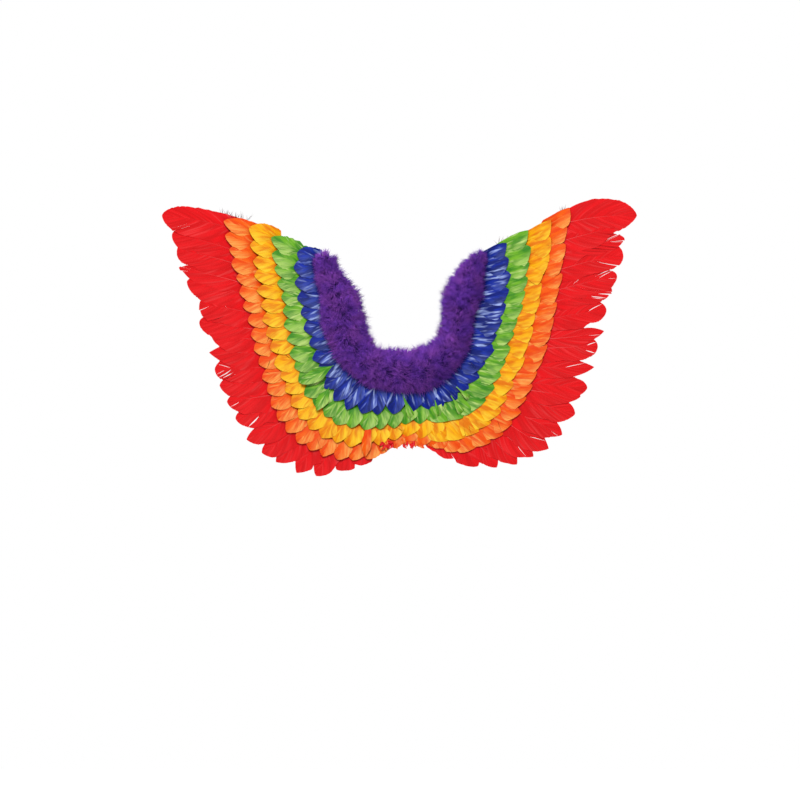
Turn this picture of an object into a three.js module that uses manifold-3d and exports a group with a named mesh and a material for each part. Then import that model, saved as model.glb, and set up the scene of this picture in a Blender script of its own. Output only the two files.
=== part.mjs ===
// Costume wings worn on the upper back: a felt panel cut as a broad U, five courses of dyed feathers
// laid over it like roof shingles, a fluffy marabou boa round the neckline and two elastic arm loops.
// Millimetres. +X is the wearer's right, +Y the way the wearer faces, +Z up. The origin is on the
// panel's wearer side, in the middle of the back. Feathers lie on the far side, towards -Y.
import * as THREE from "three";
import { mergeVertices } from "three/addons/utils/BufferGeometryUtils.js";
import Module from "manifold-3d";

const wasm = await Module();
wasm.setup();

// Ribs run out from the boa's centre line, from the wing's top edge round to the middle of the hem.
// neck_x and neck_z are the rib's start, rib_deg its direction above level, and the four covert
// columns the distance along it to the tips of each course. red is how far the long red feathers
// stand out past the orange tips, in the direction quill_deg.
const RIB_COLUMNS = ["neck_x", "neck_z", "rib_deg", "blue", "green", "yellow", "orange", "red", "quill_deg"];
const RIBS = [
  [125, 238, 23, 52, 94, 135, 170, 112, 6],
  [120, 212, 3, 60, 94, 127, 154, 92, 9],
  [97, 136, -5, 68, 101, 132, 158, 80, 5],
  [75, 83, -21, 69, 107, 136, 160, 68, -8],
  [51, 61, -50, 80, 112, 147, 171, 52, -40],
  [27, 51, -75, 72, 99, 131, 150, 16, -66],
  [0, 48, -90, 66, 87, 109, 122, 6, -88],
].map((row) => Object.fromEntries(RIB_COLUMNS.map((name, i) => [name, row[i]])));

// The felt panel, from inside the neckline to just short of the orange tips.
const PANEL_THICK = 2.5;
const PANEL_NECK_MARGIN = 12;
const PANEL_RIM = 4;
const PANEL_STATIONS = 26;
const PANEL_STEPS_ACROSS = 5;

// The middle of the panel is flat against the back, and the wings sweep away behind it.
const FLAT_HALF_WIDTH = 126;
const WING_REACH = 392;
const SWEEP_BACK = 52;

// A course is a row of feathers on a tape. It tucks in under the tips of the course above.
const SEAT_GAP = 0.7;
const TAPE_WIDTH = 9;
const TAPE_THICK = 2;
const TAPE_STATIONS = 14;
const ROOT_DEPTH = 3.4;
const ROOT_HEIGHT = 0.3;
const TUCK = 11;
const COVERT_RISE = 8.4;
const QUILL_RISE = 2;
const ROLL = 1.1;
const FULL_LENGTH = 30;
const CENTRE_GAP = 0.4;
const BOA_COVER = 14;
const FINE_STEPS = 240;

// Courses from the neck outwards: the rib column where the tips lie, the column that the tape lies
// under, the station where the course ends, the number of feathers on each wing, and their width over
// their spacing.
const COURSES = [
  { name: "blue", under: null, end: 1, count: 15, overlap: 1.3, color: 0x27339b, roughness: 0.45 },
  { name: "green", under: "blue", end: 1, count: 19, overlap: 1.28, color: 0x5cb53a, roughness: 0.5 },
  { name: "yellow", under: "green", end: 1, count: 21, overlap: 1.28, color: 0xfbae18, roughness: 0.5 },
  { name: "orange", under: "yellow", end: 1, count: 24, overlap: 1.28, color: 0xf4701f, roughness: 0.5 },
  { name: "red", under: "orange", end: 0.86, count: 18, overlap: 1.3, color: 0xe81c24, roughness: 0.5 },
];

// Feather outlines: distance along the feather, width and crown height over the flat underside.
const BLADE_COLUMNS = ["at", "wide", "crown"];
const COVERT_BLADE = [
  [0, 0.55, 0.8],
  [0.45, 0.98, 1.6],
  [0.76, 0.98, 1.5],
  [0.93, 0.62, 1.2],
];
const QUILL_BLADE = [
  [0, 0.62, 0.8],
  [0.3, 1, 2.0],
  [0.6, 1, 1.8],
  [0.86, 0.7, 1.4],
];
const FULL_ROLL_AT = 0.38;

// The marabou boa: a spiky tube of down that lies flat on the panel along the neckline.
const BOA_AXIS_HEIGHT = 13;
const BOA_TUFT_ACROSS = 34;
const BOA_TUFT_HIGH = 23;
const BOA_VALLEY_SHARE = 0.62;
const BOA_SIDES = 12;
const BOA_STATIONS = 21;
const BOA_END_SHARE = 0.55;
const BOA_END_LENGTH = 0.22;
const BOA_OVER_BLUE = 7.6;
const BOA_BLUE_RAMP = [3, 12];

// The elastic arm loops, sewn to the panel by a tab at each end.
const STRAP_X = 112;
const STRAP_WIDTH = 15;
const STRAP_THICK = 1.5;
const STRAP_SEAT = 0.3;
const STRAP_TAB = 20;
const STRAP_TOP = 175;
const STRAP_BOTTOM = -30;
const STRAP_DEPTH = 120;
const STRAP_TAB_BEND = 18;
const STRAP_FRONT_BEND = 60;
const ARC_STEPS = 7;

const MERGE_TOLERANCE = 1e-3;

const SIDES = [
  { name: "left", sign: -1 },
  { name: "right", sign: 1 },
];

const degrees = THREE.MathUtils.degToRad;
const range = (n) => Array.from({ length: n }, (_, i) => i);

// A smooth curve through four values, from b at 0 to c at 1.
function catmullRom(t, a, b, c, d) {
  const slopeB = (c - a) / 2;
  const slopeC = (d - b) / 2;
  const cube = 2 * (b - c) + slopeB + slopeC;
  const square = 3 * (c - b) - 2 * slopeB - slopeC;
  return ((cube * t + square) * t + slopeB) * t + b;
}

// A rib column's value at station s, which is 0 at the top edge and 1 at the middle of the hem.
function along(column, s) {
  const last = RIBS.length - 1;
  const at = THREE.MathUtils.clamp(s, 0, 1) * last;
  const i = Math.min(Math.floor(at), last - 1);
  const pick = (k) => RIBS[THREE.MathUtils.clamp(k, 0, last)][column];
  return catmullRom(at - i, pick(i - 1), pick(i), pick(i + 1), pick(i + 2));
}

// The point of the flat pattern at a distance along the rib at station s, on the right wing.
function ribPoint(s, distance) {
  const angle = degrees(along("rib_deg", s));
  const x = along("neck_x", s) + distance * Math.cos(angle);
  return new THREE.Vector2(x, along("neck_z", s) + distance * Math.sin(angle));
}

// Where a course's tape starts on the rib at station s.
function tapeStart(course, s) {
  return course.under ? along(course.under, s) - TUCK : BOA_COVER;
}

// Where a course's feather tips lie at station s.
function tipPoint(course, s) {
  if (course.name !== "red") return ribPoint(s, along(course.name, s));
  const angle = degrees(along("quill_deg", s));
  const out = new THREE.Vector2(Math.cos(angle), Math.sin(angle)).multiplyScalar(along("red", s));
  return ribPoint(s, along("orange", s)).add(out);
}

// Flat pattern to the worn shape: x and z stay, and height over the panel's feather face goes to -Y.
function worn(x, z, height) {
  const past = Math.max(0, Math.abs(x) - FLAT_HALF_WIDTH) / (WING_REACH - FLAT_HALF_WIDTH);
  return new THREE.Vector3(x, -PANEL_THICK - height - SWEEP_BACK * past * past, z);
}

// A closed body through rings of equal length, with a point at the far end where one is given.
function loft(rings, point) {
  const vertices = rings.flat();
  const sides = rings[0].length;
  const lastRing = rings.length - 1;
  const triangles = [];
  const corner = (ring, k) => ring * sides + (k % sides);
  // Diagonals alternate from one quad to the next.
  for (let ring = 0; ring < lastRing; ring++) {
    for (let k = 0; k < sides; k++) {
      const [a, b] = [corner(ring, k), corner(ring, k + 1)];
      const [c, d] = [corner(ring + 1, k + 1), corner(ring + 1, k)];
      if ((ring + k) % 2) triangles.push(a, b, c, a, c, d);
      else triangles.push(a, b, d, b, c, d);
    }
  }
  // A flat end is zipped up between the first half of its ring and the second half, so it may bend.
  const zip = (ring, facing) => {
    for (let low = 0, high = sides - 1; low + 1 < high; low++, high--) {
      triangles.push(...facing([corner(ring, low), corner(ring, low + 1), corner(ring, high)]));
      if (low + 1 === high - 1) break;
      triangles.push(...facing([corner(ring, low + 1), corner(ring, high - 1), corner(ring, high)]));
    }
  };
  zip(0, (triangle) => triangle.reverse());
  if (point) {
    const end = vertices.push(point) - 1;
    for (let k = 0; k < sides; k++) triangles.push(end, corner(lastRing, k), corner(lastRing, k + 1));
  } else {
    zip(lastRing, (triangle) => triangle);
  }
  const geometry = new THREE.BufferGeometry().setFromPoints(vertices);
  geometry.setIndex(triangles);
  return geometry;
}

// A geometry as a solid, turned to face outwards.
function solidOf(geometry) {
  const bare = geometry.clone();
  bare.deleteAttribute("normal");
  bare.deleteAttribute("uv");
  const merged = mergeVertices(bare, MERGE_TOLERANCE);
  const vertProperties = merged.attributes.position.array;
  const triVerts = new Uint32Array(merged.index.array);
  const made = new wasm.Manifold(new wasm.Mesh({ numProp: 3, vertProperties, triVerts }));
  if (made.volume() > 0) return made;
  return new wasm.Manifold(new wasm.Mesh({ numProp: 3, vertProperties, triVerts: triVerts.reverse() }));
}

// A solid back as a geometry.
function geometryOf(solid) {
  const mesh = solid.getMesh();
  const geometry = new THREE.BufferGeometry();
  geometry.setAttribute("position", new THREE.BufferAttribute(new Float32Array(mesh.vertProperties), 3));
  geometry.setIndex(new THREE.BufferAttribute(mesh.triVerts, 1));
  geometry.computeVertexNormals();
  return geometry;
}

// Stations spaced evenly along a course's line of tips, half a space in from each end.
function evenStations(course) {
  const fine = range(FINE_STEPS + 1).map((i) => (course.end * i) / FINE_STEPS);
  const tips = fine.map((s) => tipPoint(course, s));
  const run = [0];
  for (let i = 1; i < tips.length; i++) run.push(run[i - 1] + tips[i].distanceTo(tips[i - 1]));
  const pitch = run.at(-1) / course.count;
  const stationAt = (length) => {
    const i = Math.max(1, run.findIndex((total) => total >= length));
    const share = (length - run[i - 1]) / (run[i] - run[i - 1]);
    return THREE.MathUtils.lerp(fine[i - 1], fine[i], share);
  };
  return { pitch, stations: range(course.count).map((i) => stationAt((i + 0.5) * pitch)) };
}

// One feather: a thin leaf with a raised shaft line, rolled so that it overlaps the next one down.
function blade(course, s, pitch, sign) {
  const long = course.name === "red";
  const table = long ? QUILL_BLADE : COVERT_BLADE;
  const root = ribPoint(s, tapeStart(course, s) + TAPE_WIDTH - ROOT_DEPTH);
  const tip = tipPoint(course, s);
  const fullness = Math.min(1, root.distanceTo(tip) / FULL_LENGTH);
  // The underside is inside the tape at the root and raised at the tip.
  const rise = long ? QUILL_RISE * fullness : COVERT_RISE;
  const underAt = (at) => SEAT_GAP + ROOT_HEIGHT + rise * THREE.MathUtils.smoothstep(at, 0, 1);
  const across = tip.clone().sub(root).normalize().rotateAround(new THREE.Vector2(), Math.PI / 2);
  const place = (at, side, height) => {
    const flat = root.clone().lerp(tip, at).addScaledVector(across, side);
    return worn(sign * Math.max(CENTRE_GAP, flat.x), flat.y, height);
  };
  const rings = table.map((row) => {
    const part = Object.fromEntries(BLADE_COLUMNS.map((name, i) => [name, row[i]]));
    const half = (part.wide * pitch * course.overlap) / 2;
    const under = underAt(part.at);
    const roll = ROLL * fullness * Math.min(1, part.at / FULL_ROLL_AT);
    return [
      place(part.at, half, under + roll),
      place(part.at, 0, under + part.crown * fullness),
      place(part.at, -half, Math.max(SEAT_GAP, under - roll)),
    ];
  });
  return loft(rings, place(1, 0, underAt(1)));
}

// The tape that a course's feathers are fixed to.
function tape(course, sign) {
  const rings = range(TAPE_STATIONS + 1).map((i) => {
    const s = (course.end * i) / TAPE_STATIONS;
    const inner = ribPoint(s, tapeStart(course, s));
    const outer = ribPoint(s, tapeStart(course, s) + TAPE_WIDTH);
    const place = (p, height) => worn(sign * Math.max(CENTRE_GAP, p.x), p.y, height);
    const top = SEAT_GAP + TAPE_THICK;
    return [place(inner, SEAT_GAP), place(outer, SEAT_GAP), place(outer, top), place(inner, top)];
  });
  return loft(rings);
}

// A whole course of one wing, feathers and tape in one body.
function courseGeometry(course, sign) {
  const { pitch, stations } = evenStations(course);
  const feathers = stations.map((s) => solidOf(blade(course, s, pitch, sign)));
  return geometryOf(wasm.Manifold.union([solidOf(tape(course, sign)), ...feathers]));
}

// Stations of both wings in turn: down the left wing, through the hem and up the right one.
function bothWings(perWing) {
  const down = range(perWing + 1).map((i) => ({ s: i / perWing, sign: -1 }));
  const up = range(perWing).map((i) => ({ s: 1 - (i + 1) / perWing, sign: 1 }));
  return [...down, ...up];
}

// The felt panel under all the courses.
function panelGeometry() {
  const rings = bothWings(PANEL_STATIONS).map(({ s, sign }) => {
    const outer = along("orange", s) - PANEL_RIM;
    const steps = range(PANEL_STEPS_ACROSS + 1).map((i) =>
      ribPoint(s, THREE.MathUtils.lerp(-PANEL_NECK_MARGIN, outer, i / PANEL_STEPS_ACROSS)),
    );
    const face = (height) => steps.map((p) => worn(sign * p.x, p.y, height));
    return [...face(0), ...face(-PANEL_THICK).reverse()];
  });
  return geometryOf(solidOf(loft(rings)));
}

// The boa: tufts and valleys alternate round and along it, and its ends thin out.
function boaGeometry() {
  const ringAt = ({ s, sign }, i) => {
    const grow = THREE.MathUtils.lerp(BOA_END_SHARE, 1, THREE.MathUtils.smoothstep(s, 0, BOA_END_LENGTH));
    return range(BOA_SIDES).map((k) => {
      const angle = (2 * Math.PI * k) / BOA_SIDES;
      const size = grow * ((i + k) % 2 ? BOA_VALLEY_SHARE : 1);
      const across = size * BOA_TUFT_ACROSS * Math.cos(angle);
      const overBlue = THREE.MathUtils.smoothstep(across, ...BOA_BLUE_RAMP) * BOA_OVER_BLUE;
      const height = BOA_AXIS_HEIGHT + size * BOA_TUFT_HIGH * Math.sin(angle);
      const flat = ribPoint(s, across);
      return worn(sign * flat.x, flat.y, Math.max(height, SEAT_GAP + overBlue));
    });
  };
  return geometryOf(solidOf(loft(bothWings(BOA_STATIONS).map(ringAt))));
}

// The line of an arm loop, seen from the side: a tab, a bend forward, the round of the shoulder, a
// bend back under the arm and the lower tab. Points are (forward, up).
function strapLine() {
  const forward = STRAP_DEPTH - STRAP_TAB_BEND - STRAP_FRONT_BEND;
  const drop = STRAP_TOP - STRAP_BOTTOM - 2 * STRAP_FRONT_BEND;
  const moves = [
    { line: STRAP_TAB },
    { bend: STRAP_TAB_BEND },
    { line: forward },
    { bend: STRAP_FRONT_BEND },
    { line: drop },
    { bend: STRAP_FRONT_BEND },
    { line: forward },
    { bend: STRAP_TAB_BEND },
    { line: STRAP_TAB },
  ];
  const start = STRAP_TOP - STRAP_TAB_BEND - STRAP_TAB;
  const at = new THREE.Vector2(STRAP_SEAT + STRAP_THICK / 2, start);
  const heading = new THREE.Vector2(0, 1);
  const stops = [{ at: at.clone(), heading: heading.clone() }];
  const step = (length, turn) => {
    heading.rotateAround(new THREE.Vector2(), -turn / 2);
    at.addScaledVector(heading, length);
    heading.rotateAround(new THREE.Vector2(), -turn / 2);
    stops.push({ at: at.clone(), heading: heading.clone() });
  };
  for (const move of moves) {
    if (move.line) step(move.line, 0);
    const turn = Math.PI / 2 / ARC_STEPS;
    for (let i = 0; move.bend && i < ARC_STEPS; i++) step(2 * move.bend * Math.sin(turn / 2), turn);
  }
  return stops;
}

// An arm loop: the line given thickness, then stretched across to the strap's width.
function strapGeometry() {
  const stops = strapLine();
  const beside = (offset) =>
    stops.map(({ at, heading }) => new THREE.Vector2(-heading.y, heading.x).multiplyScalar(offset).add(at));
  const outline = [...beside(STRAP_THICK / 2), ...beside(-STRAP_THICK / 2).reverse()];
  const settings = { depth: STRAP_WIDTH, steps: 1, bevelEnabled: false };
  const geometry = new THREE.ExtrudeGeometry(new THREE.Shape(outline), settings);
  // The drawing's (forward, up, across) become the wings' (y, z, x).
  const turned = new THREE.Matrix4().set(0, 0, 1, -STRAP_WIDTH / 2, 1, 0, 0, 0, 0, 1, 0, 0, 0, 0, 0, 1);
  return geometry.applyMatrix4(turned);
}

function named(name, geometry, color, roughness) {
  const material = new THREE.MeshStandardMaterial({ color, roughness, metalness: 0 });
  const mesh = new THREE.Mesh(geometry, material);
  mesh.name = name;
  return mesh;
}

const wings = new THREE.Group();
wings.add(named("backing_panel", panelGeometry(), 0xb0151c, 0.95));
for (const course of COURSES) {
  for (const side of SIDES) {
    const geometry = courseGeometry(course, side.sign);
    wings.add(named(`${course.name}_feathers_${side.name}`, geometry, course.color, course.roughness));
  }
}
wings.add(named("marabou_trim", boaGeometry(), 0x5a2590, 0.9));
for (const side of SIDES) {
  const strap = named(`arm_loop_${side.name}`, strapGeometry(), 0x17171a, 0.85);
  strap.position.x = side.sign * STRAP_X;
  wings.add(strap);
}

export default wings;
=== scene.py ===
# Costume wings: five courses of dyed feathers on a felt panel, a marabou boa round the neckline and
# two elastic arm loops. Lengths are in millimetres until a mesh is made, and then in metres.
import math

import bpy
import numpy as np
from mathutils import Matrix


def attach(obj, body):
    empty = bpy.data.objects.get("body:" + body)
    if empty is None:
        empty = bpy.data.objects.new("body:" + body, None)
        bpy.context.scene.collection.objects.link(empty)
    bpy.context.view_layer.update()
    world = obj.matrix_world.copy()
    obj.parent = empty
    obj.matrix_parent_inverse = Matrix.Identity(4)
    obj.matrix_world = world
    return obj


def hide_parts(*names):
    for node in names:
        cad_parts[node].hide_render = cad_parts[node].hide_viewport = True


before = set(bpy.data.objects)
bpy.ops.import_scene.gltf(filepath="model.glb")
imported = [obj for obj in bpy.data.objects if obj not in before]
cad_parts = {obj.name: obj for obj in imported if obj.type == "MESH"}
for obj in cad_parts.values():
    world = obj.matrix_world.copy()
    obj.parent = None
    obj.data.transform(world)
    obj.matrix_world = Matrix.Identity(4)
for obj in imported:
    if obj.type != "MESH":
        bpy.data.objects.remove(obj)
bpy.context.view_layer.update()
MM = 0.001
SEED = 20

# Ribs run out from the boa's centre line, from the wing's top edge (station 0) to the middle of the
# hem (station 1), with the panel's reach along each. These are the same values as in the solids.
RIB_COLUMNS = ("neck_x", "neck_z", "rib_deg", "panel")
RIBS = np.array([
    (125, 238, 23, 170), (120, 212, 3, 154), (97, 136, -5, 158), (75, 83, -21, 160),
    (51, 61, -50, 171), (27, 51, -75, 150), (0, 48, -90, 122),
], dtype=float)
# How far the coverts' tips reach along the ribs. The two wings were laid by hand and differ.
REACH_COLUMNS = ("blue", "green", "yellow", "orange")
REACH = {
    "left": np.array([
        (40, 97, 134, 180), (58, 89, 123, 156), (66, 97, 131, 155), (72, 105, 132, 161),
        (87, 116, 149, 178), (77, 104, 134, 155), (69, 93, 112, 124),
    ], dtype=float),
    "right": np.array([
        (53, 94, 133, 164), (60, 92, 118, 146), (70, 95, 122, 153), (68, 99, 123, 154),
        (72, 103, 138, 164), (69, 92, 121, 135), (67, 88, 107, 121),
    ], dtype=float),
}
PANEL_THICK = 2.5
FLAT_HALF_WIDTH = 126
WING_REACH = 392
SWEEP_BACK = 52
TUCK = 21
RED_TUCK = 28
RED_END = 0.92
BLUE_ROOT = 6

# The long red feathers, from the top edge to the hem: the tip's place outwards and up, the width, the
# in-plane bow, how blunt the tip is, and how often each vane is split.
RED_COLUMNS = ("out", "up", "width", "bow", "blunt", "splits")
RED_LEFT = [
    (391, 302, 50, 4, 0.55, 0.8), (375, 271, 40, 3, 0.8, 0.3), (367, 246, 48, 3, 1.0, 0.8),
    (364, 217, 42, 2, 0.1, 0.5), (351, 194, 50, 4, 0.5, 0.6), (331, 157, 46, 2, 0.9, 0.5),
    (331, 128, 40, 1, 0.7, 0.8), (311, 105, 40, 1, 0.4, 0.6), (315, 78, 44, 1, 0.0, 0.3),
    (306, 50, 42, 1, 0.7, 5.0), (298, 24, 42, 0, 0.5, 0.8), (286, -3, 44, 0, 0.4, 0.3),
    (272, -31, 40, 0, 0.5, 0.8), (254, -65, 40, -2, 0.2, 0.6), (229, -87, 40, -2, 0.3, 0.6),
    (206, -102, 40, -1, 0.1, 0.3), (172, -120, 38, 0, 0.1, 0.5), (140, -125, 38, 0, 0.2, 0.3),
    (106, -115, 36, 0, 0.2, 0.2), (80, -104, 34, 0, 0.2, 0.2),
]
RED_RIGHT = [
    (386, 302, 61, 6, 0.35, 0.6), (350, 283, 48, 1, 0.5, 0.2), (366, 265, 38, 3, 0.4, 3.0),
    (364, 239, 46, 3, 1.0, 0.7), (354, 204, 40, 2, 0.8, 3.2), (346, 181, 38, 2, 0.6, 3.2),
    (337, 148, 46, 2, 0.7, 0.4),
    (333, 113, 34, -4, 0.1, 0.4), (323, 89, 46, 0, 0.7, 0.5), (317, 54, 34, -3, 0.1, 0.6),
    (306, 20, 42, -1, 0.5, 0.8), (295, 6, 36, -1, 0.3, 0.6), (286, -23, 48, 0, 0.4, 0.3),
    (265, -57, 44, 0, 0.2, 0.9), (243, -80, 44, -2, 0.1, 0.7), (218, -93, 42, -2, 0.1, 0.4),
    (191, -106, 42, -1, 0.1, 0.3), (158, -111, 42, 0, 0.1, 0.3), (127, -109, 40, 0, 0.2, 0.2),
    (94, -96, 36, 0, 0.2, 0.2),
]
# The direction of a red feather's shaft by the height of its tip.
SHAFT_WAYS = [
    (-125, -62), (-104, -46), (-88, -36), (-50, -24), (0, -8), (78, 1), (130, 8), (200, 14), (305, 15),
]

# The courses of coverts from the neck outwards: the course that each is tucked under, the number of
# feathers on each wing, how far they lean on the right wing, how far the first ones lean on the left
# wing, the gap left at the middle of the right hem, how far the first ones of each wing stand over the
# top edge, and how often the first left one is split.
COVERT_COLUMNS = ("name", "under", "count", "lean", "first_lean", "seam", "left", "right", "torn")
COVERTS = [dict(zip(COVERT_COLUMNS, row)) for row in (
    ("blue", None, 15, 9, 0, 0.5, -4, 1, 0.5),
    ("green", "blue", 19, 12, 12, 0.0, 5, 7, 2.5),
    ("yellow", "green", 21, 15, 8, 0.0, 6, 8, 0.0),
    ("orange", "yellow", 24, 17, 0, 0.0, -3, 15, 0.0),
)]
COVERT_OVERLAP = 1.42
# Where the courses lie close together, by the hem, each is raised this much over the next one out.
HEM_LAYER = 1.2
HEM_LAYER_FROM, HEM_LAYER_TO = 0.6, 0.8
# How the two kinds of feather are formed: the number of barbs on a vane and of steps along a barb, how
# the barbs sweep and hook forward, the outline, heights over the panel's feather face, the thickness,
# the shaft's radius, how ragged the edge is, the slits, and which way the streaks run.
COVERT = {
    "barbs": 26, "steps": 5, "sweep": 0.36, "swept": 2.6, "hook": 0.24, "taper_from": 0.46,
    "base_wide": 0.85, "root": 0.8, "rise": 5.0, "flat_from": 0.5, "slope": 1.8, "crown": 1.5, "roll": 1.2,
    "lip": 0.5, "curl": 0.3, "thick": 0.45, "shaft": 0.42, "fray": 0.015, "lobes": 0.035, "slit": 1.4,
    "slit_from": 0.2, "lifted": (0.15, 0.6), "grain": "shaft",
}
QUILL = {
    "barbs": 46, "steps": 8, "sweep": 0.5, "swept": 1.6, "hook": 0.4, "taper_from": 0.5,
    "base_wide": 1.0, "root": 0.8, "rise": 3.2, "flat_from": 0.22, "slope": 0.8, "crown": 0.6, "roll": 0.9,
    "lip": 0.0, "curl": 0.0, "thick": 0.5, "shaft": 0.55, "fray": 0.012, "lobes": 0.06, "slit": 5.0,
    "slit_from": 0.4, "lifted": (0.05, 0.42), "grain": "barb",
}
# Places along any feather, as shares of its length, and its shaft.
RACHIS_END = 0.94
VANE_OPENS = (0.05, 0.42)
SLOPE_FROM = 0.35
CURL_FROM = 0.6
SHAFT_SPAN = (-0.04, 0.96)
SHAFT_RINGS, SHAFT_SIDES = 9, 5
SHAFT_TAPER = 0.82
ROOT_SWEEP = 0.1
# How unevenly feathers grow, with the share of slits that are open at the edge.
FLUTTER = 0.3
BARB_RIPPLE = 0.07
RUN_RIPPLE = 0.25
LOBES = 9
OPEN_SLITS = 0.4
# The streaks of the lower vane are taken from a place this far on, so that the two vanes differ.
VANE_APART = 200
# On the right wing the coverts have short blunt tips, and barbs that lie closer to the shaft.
BLUNT_COVERT = {**COVERT, "sweep": 0.6, "taper_from": 0.62, "slope": 1.0, "curl": 1.4}
# Each feather lies over the next one down. On the right wing they lean up, with a narrow upper vane
# that the feather above hides, and those by the middle of the hem lie the other way round. "first" and
# "last" are the spaces left at a course's ends, "narrow" is what the first feather's upper vane loses,
# "vanes" are the widths of the upper and lower vane, "skew" is how far the coverts' streaks turn out
# from the shaft, "first_way" is the first red feather's direction, and "first_red" is how its form
# differs from the others'.
# "painted_sheen" is the span across each feather, towards its raised edge, over which the painted sheen band
# fades in.
WINGS = {
    "left": {
        "sign": -1, "covert": COVERT, "lean": -3, "leans": 0, "stray": 4.5, "pointed": 0.66, "bulge": 1.9,
        "splits": 0.15, "first": 0.5, "last": 0.5, "narrow": 0.2, "painted_sheen": (-0.35, 0.75), "vanes": (1.0, 1.0),
        "quill_vanes": (0.82, 1.18), "skew": 0.3, "first_way": 11, "first_red": {"lobes": 0.01, "slit": 0.6},
    },
    "right": {
        "sign": 1, "covert": BLUNT_COVERT, "lean": 0, "leans": 1, "stray": 3, "pointed": 0.75, "bulge": 1.5,
        "splits": 0.3, "first": 0.05, "last": 0.3, "narrow": 0.7, "painted_sheen": (0.2, 0.95), "vanes": (0.75, 1.4),
        "quill_vanes": (1.0, 1.0), "skew": 0.0, "first_way": 7,
        "first_red": {"base_wide": 0.54, "taper_from": 0.5, "lobes": 0.015},
    },
}
# Feathers out of line: their root, their tip, half their width and how much they are raised. Green ones
# have slipped up between the blue ones, and an orange one lies over the yellow ones.
SLIPPED = {
    ("green", "left"): [((113, 56), (165, 27), 12, 0), ((119, 19), (139, -17), 10, 0)],
    ("green", "right"): [
        ((1, 12), (22, -38), 5.5, 2.0), ((55, 3), (64, -34), 4.5, 1.0), ((83, 6), (104, -27), 5.5, 0.5),
        ((92, 21), (117, -1), 4.5, 0),
    ],
    ("orange", "left"): [((53, -40), (59, -93), 8, 0)],
}
SLIPPED_LOOSE = {**COVERT, "root": 10.5, "rise": 1.0, "base_wide": 0.1}
SLIPPED_KINDS = {
    ("green", "left"): SLIPPED_LOOSE,
    ("green", "right"): {**SLIPPED_LOOSE, "base_wide": 0.06, "taper_from": 0.75, "curl": 20.0, "shaft": 0.9},
    ("orange", "left"): {**SLIPPED_LOOSE, "base_wide": 0.5, "taper_from": 0.6, "curl": 4.0},
}
# Short crumpled ends at the middle of the hem: their form, the height of their roots, how that falls
# outwards and varies, how far they stray from straight down, and their lengths and half-widths.
HEM_BIT = {**COVERT, "barbs": 8, "steps": 3, "root": 4.0, "crown": 0.8, "roll": 0.4}
ORANGE_BIT = {
    "kind": HEM_BIT, "up": -62, "fall": 0.2, "uneven": 3, "stray": 26, "lengths": (12, 18),
    "halves": (2.2, 4.2),
}
RED_BIT = {
    "kind": {**HEM_BIT, "root": 8.0, "rise": 3.0}, "up": -68.5, "fall": 0, "uneven": 2, "stray": 32,
    "lengths": (9, 14), "halves": (2.2, 3.6),
}
# Where the bunches of them begin and end outwards, and how many there are.
ORANGE_BITS = (1, 32, 8)
RED_BITS = {"left": (14, 36, 8), "right": (8, 20, 6)}
# Stations over which the coverts' lean changes: by the top edge, where it starts from a share, and by
# the hem, where it ends.
TOP_FADE = 0.14
LEAN_TOP = 0.35
LEAN_FROM, LEAN_TO = 0.72, 0.98
TURNED_FROM = 0.82


def smoothstep(value, low, high):
    share = np.clip((value - low) / (high - low), 0, 1)
    return share * share * (3 - 2 * share)


def linear(red, green, blue):
    """An 8-bit screen colour as scene-linear values."""
    def one(value):
        share = value / 255
        return share / 12.92 if share <= 0.04045 else ((share + 0.055) / 1.055) ** 2.4
    return (one(red), one(green), one(blue), 1.0)


STUDIO_LIGHT = 2.75


def dye(red, green, blue):
    """The base colour of a surface that shows this screen colour in the studio light."""
    return tuple(value / STUDIO_LIGHT for value in linear(red, green, blue)[:3]) + (1.0,)


def curve(values, s):
    """The value at station s on a smooth curve through evenly spaced values."""
    last = len(values) - 1
    at = np.clip(np.asarray(s, dtype=float), 0, 1) * last
    i = np.minimum(at.astype(int), last - 1)
    a, b, c, d = (values[np.clip(i + k, 0, last)] for k in (-1, 0, 1, 2))
    t = at - i
    slope_b = (c - a) / 2
    slope_c = (d - b) / 2
    cube = 2 * (b - c) + slope_b + slope_c
    square = 3 * (c - b) - 2 * slope_b - slope_c
    return ((cube * t + square) * t + slope_b) * t + b


def along(column, s):
    return curve(RIBS[:, RIB_COLUMNS.index(column)], s)


def reach_at(side, course_name, s):
    return curve(REACH[side][:, REACH_COLUMNS.index(course_name)], s)


def rib_point(s, distance):
    angle = np.radians(along("rib_deg", s))
    return np.stack([
        along("neck_x", s) + distance * np.cos(angle),
        along("neck_z", s) + distance * np.sin(angle),
    ], axis=-1)


def worn(x, z, height):
    """The flat pattern as it is worn, in metres: height over the feather face goes to -Y."""
    past = np.maximum(0, np.abs(x) - FLAT_HALF_WIDTH) / (WING_REACH - FLAT_HALF_WIDTH)
    return np.stack([x, -PANEL_THICK - height - SWEEP_BACK * past * past, z], axis=-1) * MM


def run_along(line):
    """How far along a line of points each of them lies."""
    return np.concatenate([[0], np.cumsum(np.linalg.norm(np.diff(line, axis=0), axis=1))])


def signed_volume(points, quads):
    a, b, c, d = (points[quads[:, k]] for k in range(4))
    return np.sum(a * np.cross(b, c)) + np.sum(a * np.cross(c, d))


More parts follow.
